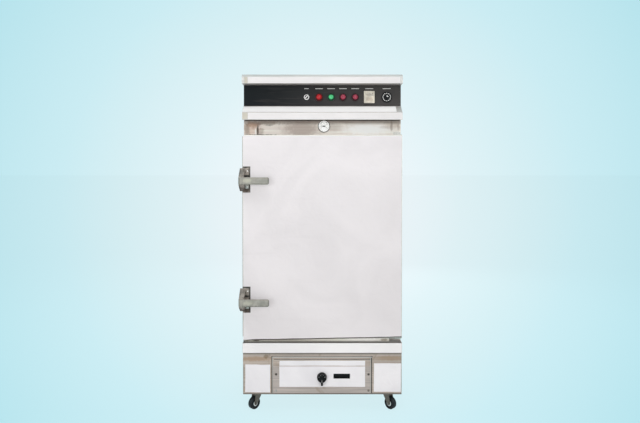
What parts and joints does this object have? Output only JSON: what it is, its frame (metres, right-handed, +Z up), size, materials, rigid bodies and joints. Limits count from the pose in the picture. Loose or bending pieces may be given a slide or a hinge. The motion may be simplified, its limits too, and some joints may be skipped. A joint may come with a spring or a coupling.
{
  "type": "rice steamer cabinet",
  "caption": "Upright rice steamer cabinet: insulated box with a latched door, trays on runners, a control panel on top, a gas base and swivel casters.",
  "frame": {"origin": "middle of the whole object's footprint box, at floor level", "axes": "+Z up, -Y out of the door, +X to the right seen from the front"},
  "size_m": [0.7158, 0.6902, 1.486],
  "materials": {
    "stainless_sheet": "brushed stainless sheet",
    "filmed_sheet": "stainless sheet under white protective film",
    "bright_steel": "bright sheet or plated steel",
    "dark_steel": "polished steel that mirrors a dark room",
    "latch_metal": "satin plated",
    "cast_iron": "matte",
    "brass": "satin",
    "black_panel": "satin black fascia",
    "black_plastic": "satin",
    "cream_plastic": "satin",
    "white_enamel": "gloss",
    "red_lens": "gloss",
    "green_lens": "gloss",
    "dark_red_lens": "gloss",
    "mineral_wool": "matte fibre",
    "foam": "matte foam",
    "silicone": "matte",
    "wheel_rubber": "matte"
  },
  "bodies": {
    "cabinet": {"left_side_panel": "stainless_sheet", "right_side_panel": "stainless_sheet", "back_panel": "stainless_sheet", "face_frame": "stainless_sheet", "inner_liner": "stainless_sheet", "insulation_jacket": "mineral_wool", "top_cap": "filmed_sheet", "hood_ledge": "filmed_sheet", "drip_gutter": "filmed_sheet", "base_front": "stainless_sheet", "access_cover": "stainless_sheet", "chassis": "stainless_sheet", "left_tray_rack": "bright_steel", "right_tray_rack": "bright_steel", "steam_vent": "bright_steel", "water_tank": "bright_steel", "heating_element": "dark_steel", "gas_burner": "cast_iron", "drain_valve": "brass", "inlet_valve": "brass", "top_hinge": "bright_steel", "bottom_hinge": "bright_steel", "upper_latch_strike": "dark_steel", "lower_latch_strike": "dark_steel", "control_panel": "black_panel", "contactor_board": "cream_plastic", "selector_switch": "white_enamel", "temperature_controller": "cream_plastic", "heating_lamp": "red_lens", "ready_lamp": "green_lens", "water_low_lamp": "dark_red_lens", "power_lamp": "dark_red_lens", "thermometer_case": "white_enamel"},
    "door": {"door_outer": "filmed_sheet", "door_core": "foam", "door_inner": "stainless_sheet", "door_gasket": "silicone", "upper_latch_plate": "dark_steel", "lower_latch_plate": "dark_steel"},
    "upper_latch": {"upper_latch_lever": "latch_metal"},
    "lower_latch": {"lower_latch_lever": "latch_metal"},
    "selector": {"selector_knob": "black_plastic"},
    "timer": {"timer_knob": "black_plastic"},
    "gas_control": {"gas_knob": "black_plastic"},
    "needle": {"thermometer_needle": "black_plastic"},
    "drain_handle": {"drain_lever": "latch_metal"},
    "float": {"float_arm": "brass"},
    "tray_1": {"tray_1": "bright_steel"},
    "tray_2": {"tray_2": "bright_steel"},
    "tray_3": {"tray_3": "bright_steel"},
    "tray_4": {"tray_4": "bright_steel"},
    "tray_5": {"tray_5": "bright_steel"},
    "front_left_fork": {"front_left_caster_fork": "bright_steel"},
    "front_left_wheel": {"front_left_caster_wheel": "wheel_rubber"},
    "front_right_fork": {"front_right_caster_fork": "bright_steel"},
    "front_right_wheel": {"front_right_caster_wheel": "wheel_rubber"},
    "rear_left_fork": {"rear_left_caster_fork": "bright_steel"},
    "rear_left_wheel": {"rear_left_caster_wheel": "wheel_rubber"},
    "rear_right_fork": {"rear_right_caster_fork": "bright_steel"},
    "rear_right_wheel": {"rear_right_caster_wheel": "wheel_rubber"}
  },
  "joints": [
    {"name": "door_swing", "type": "hinge", "parent": "cabinet", "child": "door", "pos_m": [0.33963, -0.27545, 0.327], "axis": [0, 0, 1], "range_deg": [0, 115]},
    {"name": "upper_latch_turn", "type": "hinge", "parent": "door", "child": "upper_latch", "pos_m": [-0.34387, -0.33165, 1.0197], "axis": [0, 0, -1], "range_deg": [0, 75]},
    {"name": "lower_latch_turn", "type": "hinge", "parent": "door", "child": "lower_latch", "pos_m": [-0.34387, -0.33165, 0.49203], "axis": [0, 0, -1], "range_deg": [0, 75]},
    {"name": "selector_turn", "type": "hinge", "parent": "cabinet", "child": "selector", "pos_m": [-0.06476, -0.24615, 1.392], "axis": [0, -1, 0], "range_deg": [0, 90]},
    {"name": "timer_turn", "type": "hinge", "parent": "cabinet", "child": "timer", "pos_m": [0.29242, -0.24615, 1.392], "axis": [0, 1, 0], "range_deg": [0, 270]},
    {"name": "gas_knob_turn", "type": "hinge", "parent": "cabinet", "child": "gas_control", "pos_m": [0.00393, -0.29115, 0.1534], "axis": [0, -1, 0], "range_deg": [0, 90]},
    {"name": "needle_turn", "type": "hinge", "parent": "cabinet", "child": "needle", "pos_m": [0.01323, -0.24615, 1.262], "axis": [0, 1, 0], "range_deg": [-45, 225], "stiffness_Nm_per_rad": 0.0005},
    {"name": "drain_lever_turn", "type": "hinge", "parent": "cabinet", "child": "drain_handle", "pos_m": [0.18563, 0.32715, 0.2817], "axis": [0, 0, -1], "range_deg": [0, 90]},
    {"name": "float_lift", "type": "hinge", "parent": "cabinet", "child": "float", "pos_m": [-0.19437, 0.15185, 0.2987], "axis": [-1, 0, 0], "range_deg": [0, 18]},
    {"name": "tray_1_slide", "type": "slide", "parent": "cabinet", "child": "tray_1", "axis": [0, -1, 0], "range_m": [0, 0.045]},
    {"name": "tray_2_slide", "type": "slide", "parent": "cabinet", "child": "tray_2", "axis": [0, -1, 0], "range_m": [0, 0.045]},
    {"name": "tray_3_slide", "type": "slide", "parent": "cabinet", "child": "tray_3", "axis": [0, -1, 0], "range_m": [0, 0.045]},
    {"name": "tray_4_slide", "type": "slide", "parent": "cabinet", "child": "tray_4", "axis": [0, -1, 0], "range_m": [0, 0.045]},
    {"name": "tray_5_slide", "type": "slide", "parent": "cabinet", "child": "tray_5", "axis": [0, -1, 0], "range_m": [0, 0.045]},
    {"name": "front_left_swivel", "type": "hinge", "parent": "cabinet", "child": "front_left_fork", "pos_m": [-0.28637, -0.24615, 0.069], "axis": [0, 0, 1], "continuous": true},
    {"name": "front_left_roll", "type": "hinge", "parent": "front_left_fork", "child": "front_left_wheel", "pos_m": [-0.2991, -0.25888, 0.027], "axis": [0.7071, -0.7071, 0], "continuous": true},
    {"name": "front_right_swivel", "type": "hinge", "parent": "cabinet", "child": "front_right_fork", "pos_m": [0.29763, -0.24615, 0.069], "axis": [0, 0, 1], "continuous": true},
    {"name": "front_right_roll", "type": "hinge", "parent": "front_right_fork", "child": "front_right_wheel", "pos_m": [0.31035, -0.25888, 0.027], "axis": [0.7071, 0.7071, 0], "continuous": true},
    {"name": "rear_left_swivel", "type": "hinge", "parent": "cabinet", "child": "rear_left_fork", "pos_m": [-0.28637, 0.24385, 0.069], "axis": [0, 0, 1], "continuous": true},
    {"name": "rear_left_roll", "type": "hinge", "parent": "rear_left_fork", "child": "rear_left_wheel", "pos_m": [-0.27737, 0.25944, 0.027], "axis": [-0.866, 0.5, 0], "continuous": true},
    {"name": "rear_right_swivel", "type": "hinge", "parent": "cabinet", "child": "rear_right_fork", "pos_m": [0.29763, 0.24385, 0.069], "axis": [0, 0, 1], "continuous": true},
    {"name": "rear_right_roll", "type": "hinge", "parent": "rear_right_fork", "child": "rear_right_wheel", "pos_m": [0.28863, 0.25944, 0.027], "axis": [-0.866, -0.5, 0], "continuous": true}
  ]
}
